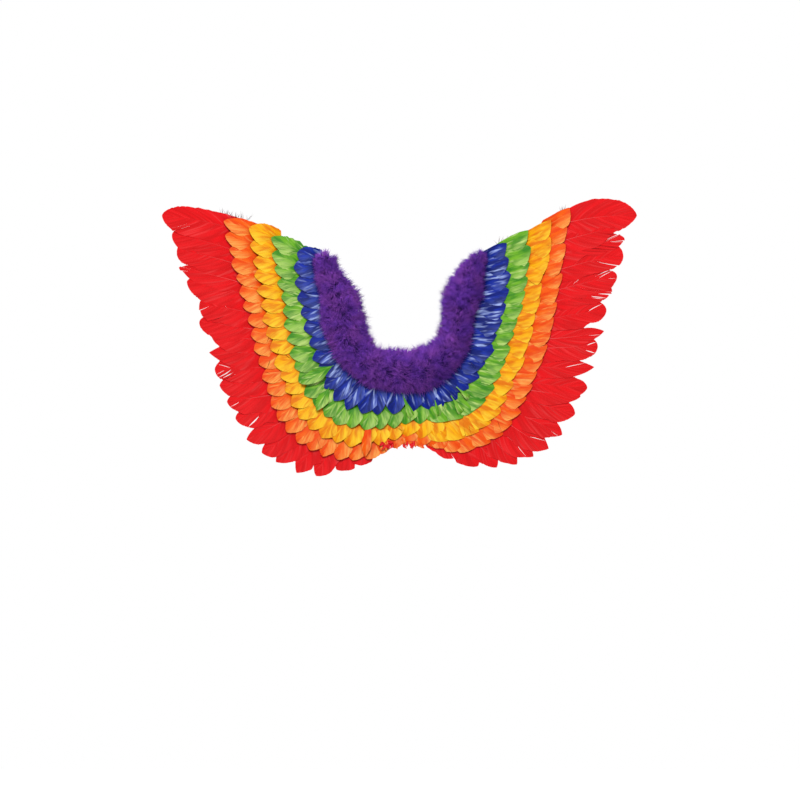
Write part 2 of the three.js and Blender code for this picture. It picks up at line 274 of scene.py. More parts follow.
class Batch:
    """Points, faces and point attributes of one piece, gathered from closed parts."""

    def __init__(self):
        self.points = []
        self.quads = []
        self.values = {}
        self.size = 0

    def add(self, points, quads, **values):
        if signed_volume(points - points.mean(axis=0), quads) < 0:
            quads = quads[:, [1, 0, 3, 2]]
        self.points.append(points)
        self.quads.append(quads + self.size)
        for name, value in values.items():
            self.values.setdefault(name, []).append(value)
        self.size += len(points)

    def add_slab(self, upper, lower, **values):
        """A closed slab between two grids of points that carry the same values."""
        points = np.concatenate([upper.reshape(-1, 3), lower.reshape(-1, 3)])
        values = {name: np.tile(value.reshape(-1, 3), (2, 1)) for name, value in values.items()}
        self.add(points, grid_faces(*upper.shape[:2]), **values)

    def piece(self, name, material, slot, sharp_deg=55):
        points = np.concatenate(self.points)
        quads = np.concatenate(self.quads)
        values = {key: np.concatenate(parts) for key, parts in self.values.items()}
        return make_piece(name, points, quads, values, material, sharp_deg)


def make_piece(name, points, quads, values, material, sharp_deg):
    """A mesh piece from quads, where a quad whose last corner repeats is a triangle."""
    three = quads[:, 2] == quads[:, 3]
    corners = np.concatenate([quads[~three].ravel(), quads[three][:, :3].ravel()]).astype(np.int32)
    sizes = np.concatenate([np.full(np.sum(~three), 4), np.full(np.sum(three), 3)])
    starts = np.concatenate([[0], np.cumsum(sizes)[:-1]]).astype(np.int32)
    mesh = bpy.data.meshes.new(name)
    mesh.vertices.add(len(points))
    mesh.vertices.foreach_set("co", points.astype(np.float32).ravel())
    mesh.loops.add(len(corners))
    mesh.loops.foreach_set("vertex_index", corners)
    mesh.polygons.add(len(starts))
    mesh.polygons.foreach_set("loop_start", starts)
    mesh.update(calc_edges=True)
    mesh.shade_smooth()
    mesh.set_sharp_from_angle(angle=math.radians(sharp_deg))
    for key, value in values.items():
        attribute = mesh.attributes.new(key, "FLOAT_VECTOR", "POINT")
        attribute.data.foreach_set("vector", value.astype(np.float32).ravel())
    mesh.materials.append(material)
    piece = bpy.data.objects.new(name, mesh)
    bpy.context.scene.collection.objects.link(piece)
    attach(piece, "root")
    return piece


def grid_faces(rows, columns):
    """Quads of a closed slab: two grids of points, upper then lower, joined round their rims."""
    upper = np.arange(rows * columns).reshape(rows, columns)
    lower = upper + rows * columns

    def cells(index):
        return np.stack([index[:-1, :-1], index[1:, :-1], index[1:, 1:], index[:-1, 1:]], axis=-1)

    rim = np.concatenate([upper[0, :], upper[1:, -1], upper[-1, -2::-1], upper[-2:0:-1, 0]])
    onward = np.roll(rim, -1)
    shift = rows * columns
    walls = np.stack([onward, rim, rim + shift, onward + shift], axis=-1)
    top = cells(upper).reshape(-1, 4)
    bottom = cells(lower).reshape(-1, 4)[:, ::-1]
    return np.concatenate([top, bottom, walls[:, ::-1]])


def tube_faces(rings, sides):
    """Quads of a closed tube of rings, with its ends closed by fans of triangles."""
    index = np.arange(rings * sides).reshape(rings, sides)
    beside = np.roll(index, -1, axis=1)
    walls = np.stack([index[:-1], beside[:-1], beside[1:], index[1:]], axis=-1).reshape(-1, 4)
    ends = []
    for ring, order in ((index[0], -1), (index[-1], 1)):
        for k in range(1, sides - 1):
            corners = [ring[0], ring[k], ring[k + 1]][::order]
            ends.append(corners + corners[-1:])
    return np.concatenate([walls, np.array(ends)])


def outline(kind, t, bulge, pointed):
    """Half-width of a feather at t, as a share of the widest."""
    base = kind["base_wide"] + (1 - kind["base_wide"]) * smoothstep(t, 0, kind["taper_from"])
    past = np.clip((t - kind["taper_from"]) / (1 - kind["taper_from"]), 0, 1)
    return base * np.maximum(0, 1 - past ** bulge) ** pointed


def slit_width(f, begin, opened):
    """A slit's width at f along a barb: it starts at begin, and is open at the edge or closed again."""
    past = np.clip((f - begin) / (1 - begin), 0, 1)
    return opened * past ** 1.3 + (1 - opened) * 3 * past * (1 - past)


def feather(batch, rng, wing, kind, root, tip, half, splits, bow, bulge, pointed, vanes, over=-1, layer=0):
    """One feather: two vanes of barbs in closed runs, parted where the vane is split, and a shaft.

    The vane on the side of the sign "over" is raised, and lies over the next feather there. The layer is
    added to the feather's height past its root."""
    run = tip - root
    length = math.hypot(*run)
    ahead = run / length
    beside = np.array([-ahead[1], ahead[0]])
    mark = 100 * rng.random()
    flutter = rng.standard_normal()
    ragged_by = 1 + 0.6 * min(splits, 2)

    def place(t, v, height):
        lift = bow * 4 * t * (1 - t)
        slope = bow * 4 * (1 - 2 * t) / length
        size = np.sqrt(1 + slope * slope)
        across = [(beside[k] - ahead[k] * slope) / size for k in (0, 1)]
        x, z = (root[k] + ahead[k] * length * t + beside[k] * lift + v * across[k] for k in (0, 1))
        return worn(wing["sign"] * x, z, height)

    def height_at(t, q):
        opened = smoothstep(t, *VANE_OPENS)
        lifted = smoothstep(t, *kind["lifted"])
        rise = (kind["rise"] + layer) * smoothstep(t, 0, kind["flat_from"])
        rise = rise + (kind["slope"] + FLUTTER * flutter) * smoothstep(t, SLOPE_FROM, 1)
        raised = over * q
        across = opened * kind["crown"] * (1 - q * q)
        across = across + lifted * (kind["roll"] * raised + kind["lip"] * smoothstep(raised, 0.5, 1.0))
        tip_fall = kind["curl"] * np.clip((t - CURL_FROM) / (1 - CURL_FROM), 0, 1) ** 2
        return kind["root"] + rise + across - tip_fall

    barbs = kind["barbs"]
    r = np.linspace(0, RACHIS_END, barbs + 1)
    sweep = ROOT_SWEEP + (kind["sweep"] - ROOT_SWEEP) * smoothstep(r, 0, 0.4)
    e = r + (1 - r) * (sweep + (1 - sweep) * (r / RACHIS_END) ** kind["swept"])
    seen_shaft = rng.uniform(0.1, 0.9)
    f = np.linspace(0, 1, kind["steps"] + 1)[None, :]
    wide = outline(kind, e, bulge, pointed)
    for side, vane in ((1, vanes[0]), (-1, vanes[1])):
        lobes = np.interp(e, np.linspace(0, 1, LOBES), rng.standard_normal(LOBES))
        ragged = ragged_by * (kind["fray"] * rng.standard_normal(barbs + 1) + kind["lobes"] * lobes)
        reach = half * vane * wide * (1 + ragged)
        ripple = BARB_RIPPLE * rng.standard_normal(barbs + 1)
        many = min(rng.poisson(splits), barbs // 5)
        places = np.arange(round(kind["slit_from"] * barbs), barbs - 3)
        cuts = np.sort(rng.choice(places, many, replace=False))
        ends = [0, *cuts.tolist(), barbs]
        sizes = [0, *(kind["slit"] * rng.uniform(0.3, 1.2, many) / length / 2).tolist(), 0]
        opens = [0, *(rng.random(many) < OPEN_SLITS).astype(float).tolist(), 0]
        begins = [0, *rng.uniform(0, 0.6, many).tolist(), 0]
        for k in range(len(ends) - 1):
            rows = np.arange(ends[k], ends[k + 1] + 1)
            x = np.linspace(0, 1, len(rows))[:, None]
            before, after = (sizes[j] * slit_width(f, begins[j], opens[j]) for j in (k, k + 1))
            root_t = r[rows][:, None]
            t = root_t + (e[rows][:, None] - root_t) * f * (1 - kind["hook"] + kind["hook"] * f)
            t = np.minimum(t + before * (1 - x) ** 2 - after * x ** 2, 1)
            v = reach[rows][:, None] * f
            q = side * f * (0.3 + 0.7 * wide[rows][:, None])
            level = RUN_RIPPLE * rng.standard_normal() * f * f + ripple[rows][:, None] * f
            middle = height_at(t, q) + level
            thick = kind["thick"] * (1 - 0.5 * f)
            upper = place(t, side * v, middle + thick / 2)
            lower = place(t, side * v, middle - thick / 2)
            barb_at = np.broadcast_to(root_t * length + VANE_APART * (side < 0), t.shape)
            turned_out = side * (v - wing["skew"] * t * length)
            streak = (turned_out, t * length) if kind["grain"] == "shaft" else (barb_at, v)
            where = np.stack([*streak, np.full(t.shape, mark)], axis=-1)
            # Painted sheen: a pale band on the raised vane, past the root, where it would catch the light.
            painted_sheen = smoothstep(over * q, *wing["painted_sheen"]) * smoothstep(t, 0.25, 0.5)
            look = np.stack([painted_sheen, np.zeros(t.shape), t], axis=-1)
            batch.add_slab(upper, lower, feather=where, look=look)
    shaft_t = np.linspace(*SHAFT_SPAN, SHAFT_RINGS)[:, None]
    turn = np.linspace(0, 2 * np.pi, SHAFT_SIDES, endpoint=False)[None, :]
    radius = kind["shaft"] * (1 - SHAFT_TAPER * np.clip(shaft_t, 0, 1))
    centre = height_at(shaft_t, 0 * shaft_t) + 0.1
    shaft = place(shaft_t + 0 * turn, radius * np.cos(turn), centre + 0.8 * radius * np.sin(turn))
    count = SHAFT_RINGS * SHAFT_SIDES
    batch.add(
        shaft.reshape(-1, 3),
        tube_faces(SHAFT_RINGS, SHAFT_SIDES),
        feather=np.tile([0.0, 0.0, mark], (count, 1)),
        look=np.stack([
            np.zeros(count),
            np.repeat(seen_shaft * (1 - 0.8 * np.clip(shaft_t.ravel(), 0, 1)), SHAFT_SIDES),
            np.repeat(shaft_t.ravel(), SHAFT_SIDES),
        ], axis=-1),
    )


def crumpled_end(batch, rng, wing, bit, out):
    """A short feather end that hangs from the hem at this place outwards."""
    up = bit["up"] - bit["fall"] * out + rng.uniform(-bit["uneven"], bit["uneven"])
    root = np.array([out, up])
    way = math.radians(-90 + bit["stray"] * rng.standard_normal())
    tip = root + rng.uniform(*bit["lengths"]) * np.array([math.cos(way), math.sin(way)])
    feather(
        batch, rng, wing, bit["kind"], root, tip, rng.uniform(*bit["halves"]), 0.5,
        2 * rng.standard_normal(), 1.4, 0.9, (1, 1))


def stations_along(tips, count, first, last):
    """Stations spaced evenly along a line of tips, with spaces left at its ends, and the spacing."""
    fine = np.linspace(0, 1, 400)
    run = run_along(tips(fine))
    pitch = run[-1] / count
    return np.interp(np.linspace(first * pitch, run[-1] - last * pitch, count), run, fine), pitch


def covert_row(course, side, rng):
    wing = WINGS[side]
    batch = Batch()
    name = course["name"]
    courses_below = len(COVERTS) - 1 - COVERTS.index(course)
    last = wing["last"] + course["seam"] * wing["leans"]
    stations, pitch = stations_along(
        lambda s: rib_point(s, reach_at(side, name, s)), course["count"], wing["first"], last)
    for s in stations:
        start = reach_at(side, course["under"], s) - TUCK if course["under"] else BLUE_ROOT
        settle = LEAN_TOP + (1 - LEAN_TOP) * smoothstep(s, 0, TOP_FADE)
        settle = settle * (1 - smoothstep(s, LEAN_FROM, LEAN_TO))
        stray = wing["stray"] * rng.standard_normal() * smoothstep(s, 0, TOP_FADE / 2)
        lean = wing["lean"] + course["lean"] * wing["leans"] * settle + stray
        at_top = 1 - smoothstep(s, 0, TOP_FADE)
        lean = lean + course["first_lean"] * (1 - wing["leans"]) * at_top
        way = np.radians(along("rib_deg", s) + lean)
        reach = reach_at(side, name, s)
        length = (reach - start) * (1 + 0.03 * rng.standard_normal())
        tip = rib_point(s, reach + 1.2 * rng.standard_normal())
        tip = tip + np.array([0, course[side] * at_top])
        root = tip - length / math.cos(math.radians(lean)) * np.array([np.cos(way), np.sin(way)])
        half = 0.5 * pitch * COVERT_OVERLAP * (1 + 0.07 * rng.standard_normal())
        upper, lower = wing["vanes"]
        splits = wing["splits"]
        if s == stations[0]:
            upper = upper * (1 - wing["narrow"])
            splits = splits + course["torn"] * (1 - wing["leans"])
        turned = wing["leans"] and s > TURNED_FROM
        layer = HEM_LAYER * courses_below * smoothstep(s, HEM_LAYER_FROM, HEM_LAYER_TO)
        feather(
            batch, rng, wing, wing["covert"], root, tip, half, splits, rng.standard_normal(),
            wing["bulge"] * (1 + 0.15 * rng.random()), wing["pointed"] + 0.1 * rng.random(),
            (lower, upper) if turned else (upper, lower), 1 if turned else -1, layer,
        )
    for root, tip, half, layer in SLIPPED.get((name, side), ()):
        feather(
            batch, rng, wing, SLIPPED_KINDS[name, side], np.array(root), np.array(tip), half, 1.0, 0.0,
            1.6, 0.7, (1, 1), layer=layer)
    if name == "orange":
        begin, end, count = ORANGE_BITS
        for _ in range(count):
            crumpled_end(batch, rng, wing, ORANGE_BIT, rng.uniform(begin, end))
    return batch


def red_row(side, rng):
    wing = WINGS[side]
    batch = Batch()
    fine = np.linspace(0, RED_END, 400)
    line = rib_point(fine, reach_at(side, "orange", fine) - RED_TUCK)
    for k, row in enumerate(RED_LEFT if side == "left" else RED_RIGHT):
        red = dict(zip(RED_COLUMNS, row))
        tip = np.array([red["out"], red["up"]], dtype=float)
        wanted = np.interp(red["up"], *np.array(SHAFT_WAYS).T) if k else wing["first_way"]
        ways = np.degrees(np.arctan2(tip[1] - line[:, 1], tip[0] - line[:, 0]))
        root = line[np.argmin(np.abs(ways - wanted))]
        kind = QUILL if k else {**QUILL, **wing["first_red"]}
        feather(
            batch, rng, wing, kind, root, tip, red["width"] / 2, red["splits"], red["bow"],
            1.5 + 3.0 * red["blunt"], 0.85 - 0.4 * red["blunt"], wing["quill_vanes"],
        )
    for out in rng.uniform(*RED_BITS[side]):
        crumpled_end(batch, rng, wing, RED_BIT, out)
    return batch


# The boa's down: strands in locks over a soft core. Its inner and outer edges along the ribs, at even
# stations from its end to the middle, and how far its fuzz stands out past the locks.
BOA_EDGES = {
    "left": (
        np.array([-20, -18, -22, -39, -39, -33, -32, -28, -32, -30, -33, -36, -35]),
        np.array([5, 18, 22, 25, 37, 36, 37, 35, 35, 39, 35, 38, 40]),
    ),
    "right": (
        np.array([-7, -20, -28, -40, -30, -24, -29, -30, -33, -33, -30, -34, -35]),
        np.array([12, 18, 17, 26, 24, 31, 35, 35, 37, 40, 42, 39, 40]),
    ),
}
BOA_FUZZ = 3
BOA_AXIS = 13
BOA_HIGH = 23
BOA_WIDEST = 34
BOA_OVER_BLUE = 7.6
BOA_CORE = 0.71
# The locks cover the boa between two angles from its outer side, rooted at a share of its radius.
LOCKS = 10500
LOCK_ANGLES = (-24, 204)
LOCK_DEPTHS = (0.66, 0.84)
LOCK_SPREAD = 1.5
LOCK_BEND = 1.8
LOCK_OUTWARD = 0.34
STRANDS_PER_LOCK = 5
STRAND_RADIUS = 0.24
STRAND_LENGTHS = (9, 20)
STRAND_STRAY = 0.17
STRAND_BEND = 0.7
# The least height of the strands and of the core over the felt.
STRAND_LEAST, CORE_LEAST = 1.4, 0.9
# Painted light and shade on the boa: the left half is painted a little lighter, and the right half darker on
# its outer side, where less light falls.
BOA_PAINTED_LIGHT = 0.12
BOA_PAINTED_SHADE = 0.45


def boa_frame(u):
    """The boa at u, from -1 at the left end to 1 at the right one: a point on its line, the way out,
    and the middle and half of its width along that way."""
    s = 1 - np.abs(u)
    sign = np.where(u < 0, -1.0, 1.0)
    angle = np.radians(along("rib_deg", s))
    line = np.stack([sign * along("neck_x", s), along("neck_z", s)], axis=-1)
    out = np.stack([sign * np.cos(angle), np.sin(angle)], axis=-1)
    inner, outer = (
        np.where(u < 0, curve(BOA_EDGES["left"][k], s), curve(BOA_EDGES["right"][k], s)) for k in (0, 1))
    return line, out, (inner + outer) / 2, (outer - inner) / 2 - BOA_FUZZ


def over_blue(across):
    """How far the boa's underside is raised where it lies over the blue feathers."""
    return BOA_OVER_BLUE * smoothstep(across, 3, 12)


def strands(roots, ways, lengths, bends, radius, values):
    """Closed tapering strands of three sides in metres: a root ring, a ring on a curve and a point."""
    count = len(roots)
    ways = ways / np.linalg.norm(ways, axis=1, keepdims=True)
    helper = np.where(np.abs(ways[:, 2:3]) < 0.8, [[0.0, 0.0, 1.0]], [[1.0, 0.0, 0.0]])
    first = np.cross(ways, helper)
    first /= np.linalg.norm(first, axis=1, keepdims=True)
    second = np.cross(ways, first)
    rings = []
    for share, size in ((0.0, 0.8), (0.5, 1.0)):
        middle = roots + ways * (lengths * share)[:, None] + bends * (share * share)
        ring = [
            middle + size * radius * (first * math.cos(a) + second * math.sin(a))
            for a in np.radians([0, 120, 240])
        ]
        rings.append(np.stack(ring, axis=1))
    tips = (roots + ways * lengths[:, None] + bends)[:, None, :]
    points = np.concatenate([*rings, tips], axis=1)
    faces = [(2, 1, 0, 0)]
    for k in range(3):
        n = (k + 1) % 3
        faces.append((k, n, 3 + n, 3 + k))
        faces.append((3 + k, 3 + n, 6, 6))
    quads = np.array(faces)[None, :, :] + 7 * np.arange(count)[:, None, None]
    value = np.empty((count, 7, 3))
    value[:, :, 0] = values[:, 0:1]
    value[:, :, 1] = np.array([0, 0, 0, 0.5, 0.5, 0.5, 1.0])[None, :]
    value[:, :, 2] = values[:, 1:2]
    return points.reshape(-1, 3) * MM, quads.reshape(-1, 4), value.reshape(-1, 3)


def boa_places(shares):
    """Places along the boa at these shares of its length."""
    fine = np.linspace(-1, 1, 801)
    run = run_along(boa_frame(fine)[0])
    return np.interp(shares, run / run[-1], fine)


def boa_strands(rng, low, high, locks):
    """Strands between two shares of the boa's length: pointed locks that fall away from its ridge."""
    u = boa_places(np.linspace(low, high, locks) + rng.uniform(-0.01, 0.01, locks))
    line, out, middle, half = boa_frame(u)
    grow = half / BOA_WIDEST
    angle = rng.uniform(*map(math.radians, LOCK_ANGLES), locks)
    across_at = BOA_WIDEST * np.cos(angle)
    high_at = BOA_HIGH * np.sin(angle)
    hollow = np.sin(53 * u + 2 * angle) * np.sin(37 * u - 3 * angle + 2)
    depth = (rng.uniform(*LOCK_DEPTHS, locks) - 0.05 * hollow) * grow
    lift = np.stack([np.cos(angle) / BOA_WIDEST, np.sin(angle) / BOA_HIGH], axis=-1)
    lift /= np.linalg.norm(lift, axis=1, keepdims=True)
    round_way = np.stack([-lift[:, 1], lift[:, 0]], axis=-1)
    along_way = np.stack([-out[:, 1], out[:, 0]], axis=-1)
    swirl = 1.5 * np.sin(61 * u + 2 * angle) + 1.2 * np.sin(93 * u - 3 * angle + 1)
    swirl = swirl + rng.normal(0, 0.8, locks)
    fall = -np.sign(np.cos(angle)) * np.abs(np.cos(angle)) ** 0.6
    turn = 0.7 * fall + 0.45 * np.sin(swirl)
    onward = 0.65 * np.cos(swirl) + 1.1 * np.sign(u) * smoothstep(np.abs(u), 0.95, 1)
    # Locks at the inner edge stand out in points.
    edge = smoothstep(-np.cos(angle), 0.7, 0.95)
    outward = LOCK_OUTWARD + 0.5 * edge
    # The lock's way as across, height and along parts.
    lock_way = np.column_stack([outward[:, None] * lift + turn[:, None] * round_way, onward])
    lock_way /= np.linalg.norm(lock_way, axis=1, keepdims=True)
    which = np.repeat(np.arange(locks), STRANDS_PER_LOCK)
    total = len(which)
    loose = (1 - 0.6 * edge)[which][:, None]
    spread = LOCK_SPREAD * loose * rng.standard_normal((total, 3))
    way = lock_way[which] + STRAND_STRAY * loose * rng.standard_normal((total, 3))
    way /= np.linalg.norm(way, axis=1, keepdims=True)
    reach = rng.uniform(*STRAND_LENGTHS, total) * (0.45 + 0.55 * grow[which])

    def place(across, height, forward):
        x = line[which, 0] + out[which, 0] * across + along_way[which, 0] * forward
        z = line[which, 1] + out[which, 1] * across + along_way[which, 1] * forward
        return worn(x, z, np.maximum(height, STRAND_LEAST + over_blue(across))) / MM

    across = middle[which] + depth[which] * across_at[which] + spread[:, 0]
    height = BOA_AXIS + depth[which] * high_at[which] + spread[:, 1]
    roots = place(across, height, spread[:, 2])
    ends = place(across + reach * way[:, 0], height + reach * way[:, 1], spread[:, 2] + reach * way[:, 2])
    ways = ends - roots
    lengths = np.linalg.norm(ways, axis=1)
    bends = STRAND_BEND * rng.standard_normal((total, 3))
    bends = bends + LOCK_BEND * rng.standard_normal((locks, 3))[which]
    # Painted shade on the right half's outer side and painted light on the left half go into each lock's
    # tone.
    darker = BOA_PAINTED_SHADE * smoothstep(u, 0, 0.3) * smoothstep(np.cos(angle), -0.4, 0.5)
    lock_tone_and_light = rng.random(locks) + BOA_PAINTED_LIGHT * smoothstep(-u, 0, 0.3) - darker
    values = np.stack([lock_tone_and_light[which], rng.random(total)], axis=-1)
    return strands(roots, ways, lengths, bends, STRAND_RADIUS, values)


# Loose hairs of down along the wings' top edges: where they begin and end along the top rib, how far
# over the rib they are rooted at these ends, and how many there are.
EDGE_DOWN = {"left": [(138, 186, 3, -12, 38)], "right": [(38, 60, 0, 0, 14), (149, 160, 9, 9, 10)]}
HAIR_RADIUS = 0.34
HAIR_LENGTHS = (8, 19)
HAIR_ROOT_HEIGHTS = (0.6, 3)
HAIR_LEAN = 20
HAIR_BEND = 0.7


def edge_down(side, rng):
    spots = []
    for begin, end, lift_begin, lift_end, count in EDGE_DOWN[side]:
        share = rng.random(count)
        spots.append(np.stack([
            begin + (end - begin) * share,
            lift_begin + (lift_end - lift_begin) * share,
        ], axis=-1))
    spots = np.concatenate(spots)
    count = len(spots)
    flat = rib_point(np.zeros(count), spots[:, 0])
    flat[:, 1] += spots[:, 1] + rng.uniform(-3, 3, count)
    height = rng.uniform(*HAIR_ROOT_HEIGHTS, count)
    roots = worn(WINGS[side]["sign"] * flat[:, 0], flat[:, 1], height) / MM
    lean = np.radians(90 + HAIR_LEAN * rng.standard_normal(count))
    ways = np.stack([np.cos(lean), 0.3 * rng.standard_normal(count), np.sin(lean)], axis=-1)
    bends = HAIR_BEND * rng.standard_normal((count, 3))
    lengths = rng.uniform(*HAIR_LENGTHS, count)
    return strands(roots, ways, lengths, bends, HAIR_RADIUS, rng.random((count, 2)))


def boa_core():
    """The soft core that carries the down."""
    rings, sides = 90, 20
    u = np.linspace(-1, 1, rings)
    line, out, middle, half = boa_frame(u)
    angle = np.linspace(0, 2 * np.pi, sides, endpoint=False)[None, :]
    ripple = BOA_CORE + 0.05 * np.sin(37 * u)[:, None] * np.sin(3 * angle)
    size = (half / BOA_WIDEST)[:, None] * ripple
    across = middle[:, None] + size * BOA_WIDEST * np.cos(angle)
    height = np.maximum(BOA_AXIS + size * BOA_HIGH * np.sin(angle), CORE_LEAST + over_blue(across))
    x = line[:, 0:1] + out[:, 0:1] * across
    z = line[:, 1:2] + out[:, 1:2] * across
    points = worn(x, z, height).reshape(-1, 3)
    # The core takes the value of a strand's root, so it shows only its deep tone: painted shade for the
    # depths of the down seen through its gaps.
    value = np.tile([0.3, 0.0, 0.5], (len(points), 1))
    return points, tube_faces(rings, sides), value


def new_material(name):
    material = bpy.data.materials.new(name)
    material.use_nodes = True
    tree = material.node_tree
    tree.nodes.clear()
    output = tree.nodes.new("ShaderNodeOutputMaterial")
    shader = tree.nodes.new("ShaderNodeBsdfPrincipled")
    tree.links.new(shader.outputs["BSDF"], output.inputs["Surface"])
    return material, tree, shader


def node(tree, kind, links=(), **settings):
    made = tree.nodes.new("ShaderNode" + kind)
    for key, value in settings.items():
        if hasattr(made, key):
            setattr(made, key, value)
        else:
            made.inputs[key].default_value = value
    for socket, source in links:
        tree.links.new(source, made.inputs[socket])
    return made


def feed(tree, made, values):
    """Gives each numbered input of a node its constant or its link."""
    for index, value in values:
        if isinstance(value, (tuple, float, int)):
            made.inputs[index].default_value = value
        else:
            tree.links.new(value, made.inputs[index])


def mix_colours(tree, factor, first, second):
    made = node(tree, "Mix", data_type="RGBA")
    feed(tree, made, ((0, factor), (6, first), (7, second)))
    return made.outputs[2]


def scaled_noise(tree, vector, scale, detail=2.0):
    stretch = node(tree, "VectorMath", [(0, vector)], operation="MULTIPLY")
    stretch.inputs[1].default_value = scale
    noise = node(tree, "TexNoise", [("Vector", stretch.outputs[0])], Scale=1.0, Detail=detail)
    return noise.outputs["Fac"]


def ramp(tree, source, low, high, to_low=0.0, to_high=1.0):
    bounds = {"From Min": low, "From Max": high, "To Min": to_low, "To Max": to_high}
    made = node(
        tree, "MapRange", [("Value", source)], interpolation_type="SMOOTHSTEP", **bounds)
    return made.outputs["Result"]


def times(tree, first, second):
    made = node(tree, "Math", operation="MULTIPLY")
    feed(tree, made, enumerate((first, second)))
    return made.outputs[0]


def gloss(shader, roughness, specular):
    shader.inputs["Roughness"].default_value = roughness
    shader.inputs["Specular IOR Level"].default_value = specular


def bumped(tree, shader, height, strength, depth):
    """Fine relief from a height, with its depth in metres."""
    bump = node(tree, "Bump", [("Height", height)], Strength=strength, Distance=depth)
    tree.links.new(bump.outputs["Normal"], shader.inputs["Normal"])


def feather_material(name, deep, base, pale, shaft, band, streaks, tip_dark, grain):
    """Dyed feather: streaks along the barbs, a painted sheen band on the raised vane, pale streaks of painted
    glint and a paler shaft.
    """
    material, tree, shader = new_material(name)
    place = node(tree, "Attribute", attribute_name="feather").outputs["Vector"]
    look = node(tree, "Attribute", attribute_name="look").outputs["Vector"]
    parts = node(tree, "SeparateXYZ", [(0, look)])
    fine = scaled_noise(tree, place, (1.1, 0.05, 3.1), 3.0)
    broad = scaled_noise(tree, place, (0.14, 0.035, 5.3), 2.0)
    glint = scaled_noise(tree, place, (0.2, 0.032, 7.7), 2.0)
    tone = mix_colours(tree, ramp(tree, broad, 0.35, 0.65), deep, base)
    tone = mix_colours(tree, ramp(tree, fine, 0.4, 0.72, 0.0, grain), tone, deep)
    # Painted sheen: the pale tone laid over the raised vane's band, broken up by the grain.
    painted_sheen = times(tree, parts.outputs["X"], ramp(tree, fine, 0.3, 0.62, 0.25, 1.0))
    painted_sheen = times(tree, painted_sheen, ramp(tree, broad, 0.3, 0.6, 0.45, 1.0))
    tone = mix_colours(tree, times(tree, painted_sheen, band), tone, pale)
    # Painted glints: pale streaks where the barbs would catch the light, fading towards the tip.
    shine = ramp(tree, glint, 0.52, 0.71, 0.0, streaks)
    shine = times(tree, shine, ramp(tree, fine, 0.34, 0.56, 0.45, 1.0))
    shine = times(tree, shine, ramp(tree, parts.outputs["Z"], 0.72, 0.98, 1.0, 0.15))
    tone = mix_colours(tree, shine, tone, pale)
    tone = mix_colours(tree, ramp(tree, parts.outputs["Z"], 0.7, 1.0, 0.0, tip_dark), tone, deep)
    tone = mix_colours(tree, parts.outputs["Y"], tone, shaft)
    tree.links.new(tone, shader.inputs["Base Color"])
    bumped(tree, shader, scaled_noise(tree, place, (2.6, 0.03, 2.2)), 0.4, 0.0006)
    gloss(shader, 0.5, 0.05)
    return material


def down_material(name, deep, base, bright):
    """Marabou down: patches and locks have their own tone, the locks carry painted light and shade, and
    painted shade makes it darker towards the roots.
    """
    material, tree, shader = new_material(name)
    value = node(tree, "Attribute", attribute_name="tuft").outputs["Vector"]
    parts = node(tree, "SeparateXYZ", [(0, value)])
    place = node(tree, "TexCoord").outputs["Object"]
    patches = scaled_noise(tree, place, (38.0, 38.0, 38.0), 2.0)
    tone = mix_colours(tree, ramp(tree, patches, 0.38, 0.66), base, bright)
    tone = mix_colours(tree, ramp(tree, parts.outputs["X"], 0.45, 1.0, 0.0, 0.6), tone, bright)
    tone = mix_colours(tree, ramp(tree, parts.outputs["X"], 0.0, 0.4, 0.5, 0.0), tone, deep)
    tone = mix_colours(tree, ramp(tree, parts.outputs["Z"], 0.2, 1.0, 0.0, 0.35), tone, deep)
    # Painted shade: each strand is darker towards its root, deep in the down.
    tone = mix_colours(tree, ramp(tree, parts.outputs["Y"], 0.0, 0.7), deep, tone)
    tree.links.new(tone, shader.inputs["Base Color"])
    gloss(shader, 0.75, 0.06)
    return material


def thread_material(name, colour):
    """Plain sewing thread."""
    material, _, shader = new_material(name)
    shader.inputs["Base Color"].default_value = colour
    gloss(shader, 0.6, 0.2)
    return material


def felt_material(name, deep, base):
    """Pressed felt: short matted fibres and a soft uneven dye."""
    material, tree, shader = new_material(name)
    place = node(tree, "TexCoord").outputs["Object"]
    fibres = scaled_noise(tree, place, (900.0, 900.0, 900.0), 4.0)
    patches = scaled_noise(tree, place, (26.0, 26.0, 26.0), 4.0)
    tone = mix_colours(tree, ramp(tree, patches, 0.3, 0.7, 0.0, 0.22), base, deep)
    tone = mix_colours(tree, ramp(tree, fibres, 0.42, 0.7, 0.0, 0.6), tone, deep)
    tree.links.new(tone, shader.inputs["Base Color"])
    bumped(tree, shader, fibres, 0.6, 0.0008)
    gloss(shader, 0.95, 0.1)
    return material


def elastic_material(name, deep, base):
    """Woven elastic: fine cross threads over the ribs of the tape."""
    material, tree, shader = new_material(name)
    place = node(tree, "Attribute", attribute_name="tape").outputs["Vector"]
    threads = scaled_noise(tree, place, (0.6, 2.4, 1.0), 2.0)
    tone = mix_colours(tree, ramp(tree, threads, 0.35, 0.65), deep, base)
    tree.links.new(tone, shader.inputs["Base Color"])
    bumped(tree, shader, threads, 0.4, 0.0004)
    gloss(shader, 0.7, 0.25)
    return material


# The felt panel, with soft rounded edges. Its top edge stays just under the first feathers.
PANEL_NECK_MARGIN = 12
PANEL_RIM = 4
PANEL_COVER = 6
PANEL_TOP = 0.012
PANEL_STATIONS = 90
PANEL_ACROSS = 26
PANEL_EDGE = 0.9
PANEL_EDGE_WIDE = 1.4
PANEL_ABOUT_WIDE = 130
PANEL_WAVE = 0.12


